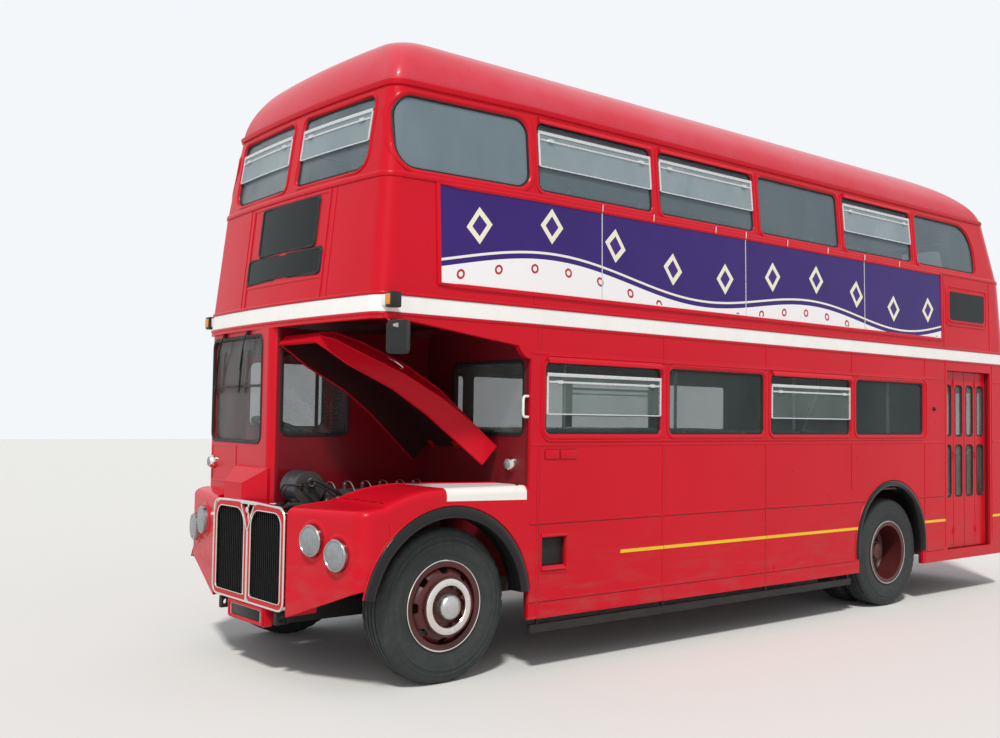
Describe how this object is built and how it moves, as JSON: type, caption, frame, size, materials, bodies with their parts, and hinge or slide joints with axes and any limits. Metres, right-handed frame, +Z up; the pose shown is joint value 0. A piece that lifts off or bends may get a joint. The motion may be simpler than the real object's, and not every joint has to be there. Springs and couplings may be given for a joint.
{
  "type": "half-cab double-decker bus",
  "caption": "Half-cab double-decker bus: engine under a side-cowled bonnet beside the cab, rear entrance with folding doors, two glazed saloons, twin rear wheels and steered front wheels.",
  "frame": {"origin": "on the ground under the middle of the vehicle's overall box", "axes": "+Z up, -Y the direction of travel, +X the nearside, where the passengers enter"},
  "size_m": [2.7994, 8.38, 4.38],
  "materials": {
    "red_paint": "gloss",
    "door_frame": "gloss",
    "dark_paint": "satin",
    "floor_covering": "satin",
    "window_glass": "gloss",
    "seat_cloth": "matte",
    "seat_hide": "satin",
    "black_rubber": "satin",
    "bright_trim": "polished",
    "black_mesh": "satin",
    "engine_casting": "satin",
    "radiator_brass": "matte",
    "chassis_black": "satin",
    "exhaust_steel": "matte",
    "black_plastic": "matte",
    "black_gloss": "gloss",
    "wheel_maroon": "gloss",
    "tyre_rubber": "matte"
  },
  "bodies": {
    "coachwork": {"lower_side_nearside": "red_paint", "lower_side_offside": "red_paint", "entrance_frame": "door_frame", "front_bulkhead": "dark_paint", "cab_shell": "red_paint", "upper_side_nearside": "red_paint", "upper_side_offside": "red_paint", "upper_front": "red_paint", "upper_rear": "red_paint", "lower_rear": "red_paint", "roof": "red_paint", "lower_floor": "floor_covering", "upper_floor": "floor_covering", "staircase": "floor_covering", "windows_nearside": "window_glass", "windows_offside": "window_glass", "front_windows": "window_glass", "cab_windows": "window_glass", "end_windows": "window_glass", "seats_lower_nearside": "seat_cloth", "seats_lower_offside": "seat_cloth", "seats_upper_nearside": "seat_cloth", "seats_upper_offside": "seat_cloth", "driver_seat": "seat_hide", "wing_nearside": "red_paint", "wing_offside": "red_paint", "arch_flares": "black_rubber", "grille_surround": "bright_trim", "grille": "black_mesh", "number_plate_box": "red_paint", "lamps": "bright_trim", "engine": "engine_casting", "radiator": "radiator_brass", "front_subframe": "chassis_black", "rear_axle": "chassis_black", "transmission": "engine_casting", "fuel_tank": "chassis_black", "exhaust": "exhaust_steel", "side_rails": "chassis_black", "mirrors": "black_plastic", "steering_column": "chassis_black"},
    "bonnet": {"bonnet": "red_paint"},
    "cab_door": {"cab_door": "red_paint"},
    "door_leaf_1": {"door_leaf_1": "door_frame"},
    "door_leaf_2": {"door_leaf_2": "door_frame"},
    "door_leaf_3": {"door_leaf_3": "door_frame"},
    "door_leaf_4": {"door_leaf_4": "door_frame"},
    "emergency_door": {"emergency_door": "red_paint"},
    "knuckle_nearside": {"knuckle_nearside": "chassis_black"},
    "knuckle_offside": {"knuckle_offside": "chassis_black"},
    "front_wheel_nearside": {"wheel_front_nearside": "wheel_maroon", "tyre_front_nearside": "tyre_rubber"},
    "front_wheel_offside": {"wheel_front_offside": "wheel_maroon", "tyre_front_offside": "tyre_rubber"},
    "rear_wheels_nearside": {"wheels_rear_nearside": "wheel_maroon", "tyres_rear_nearside": "tyre_rubber"},
    "rear_wheels_offside": {"wheels_rear_offside": "wheel_maroon", "tyres_rear_offside": "tyre_rubber"},
    "steering_wheel": {"steering_wheel": "black_gloss"}
  },
  "joints": [
    {"name": "bonnet_hinge", "type": "hinge", "parent": "coachwork", "child": "bonnet", "pos_m": [0.4, -2.765, 1.488], "axis": [1, 0, 0], "range_deg": [0, 45]},
    {"name": "cab_door_slide", "type": "slide", "parent": "coachwork", "child": "cab_door", "axis": [0, 1, 0], "range_m": [0, 0.62]},
    {"name": "front_pair_hinge", "type": "hinge", "parent": "coachwork", "child": "door_leaf_1", "pos_m": [1.136, 2.764, 1.35], "axis": [0, 0, 1], "range_deg": [0, 85]},
    {"name": "front_pair_fold", "type": "hinge", "parent": "door_leaf_1", "child": "door_leaf_2", "pos_m": [1.169, 2.971, 1.35], "axis": [0, 0, 1], "range_deg": [-170, 0]},
    {"name": "rear_pair_hinge", "type": "hinge", "parent": "coachwork", "child": "door_leaf_4", "pos_m": [1.136, 3.616, 1.35], "axis": [0, 0, -1], "range_deg": [0, 85]},
    {"name": "rear_pair_fold", "type": "hinge", "parent": "door_leaf_4", "child": "door_leaf_3", "pos_m": [1.169, 3.409, 1.35], "axis": [0, 0, -1], "range_deg": [-170, 0]},
    {"name": "emergency_door_hinge", "type": "hinge", "parent": "coachwork", "child": "emergency_door", "pos_m": [-0.617, 4.06, 3.315], "axis": [0, -0.3494, 0.937], "range_deg": [0, 95]},
    {"name": "steer_nearside", "type": "hinge", "parent": "coachwork", "child": "knuckle_nearside", "pos_m": [0.8, -3.35, 0.497], "axis": [0, 0, 1], "range_deg": [-35, 35]},
    {"name": "steer_offside", "type": "hinge", "parent": "coachwork", "child": "knuckle_offside", "pos_m": [-0.8, -3.35, 0.497], "axis": [0, 0, 1], "range_deg": [-35, 35]},
    {"name": "steering_wheel_turn", "type": "hinge", "parent": "coachwork", "child": "steering_wheel", "pos_m": [-0.6, -3.594, 1.566], "axis": [0, 0.3746, 0.9272], "range_deg": [-420, 420]},
    {"name": "spin_front_nearside", "type": "hinge", "parent": "knuckle_nearside", "child": "front_wheel_nearside", "pos_m": [0.985, -3.35, 0.497], "axis": [1, 0, 0], "continuous": true},
    {"name": "spin_front_offside", "type": "hinge", "parent": "knuckle_offside", "child": "front_wheel_offside", "pos_m": [-0.985, -3.35, 0.497], "axis": [1, 0, 0], "continuous": true},
    {"name": "spin_rear_nearside", "type": "hinge", "parent": "coachwork", "child": "rear_wheels_nearside", "pos_m": [0.892, 1.781, 0.497], "axis": [1, 0, 0], "continuous": true},
    {"name": "spin_rear_offside", "type": "hinge", "parent": "coachwork", "child": "rear_wheels_offside", "pos_m": [-0.892, 1.781, 0.497], "axis": [1, 0, 0], "continuous": true}
  ],
  "couplings": [
    {"joint": "front_pair_fold", "follows": "front_pair_hinge", "ratio": -2},
    {"joint": "rear_pair_fold", "follows": "rear_pair_hinge", "ratio": -2},
    {"joint": "steer_offside", "follows": "steer_nearside", "ratio": 1},
    {"joint": "steering_wheel_turn", "follows": "steer_nearside", "ratio": 12}
  ]
}
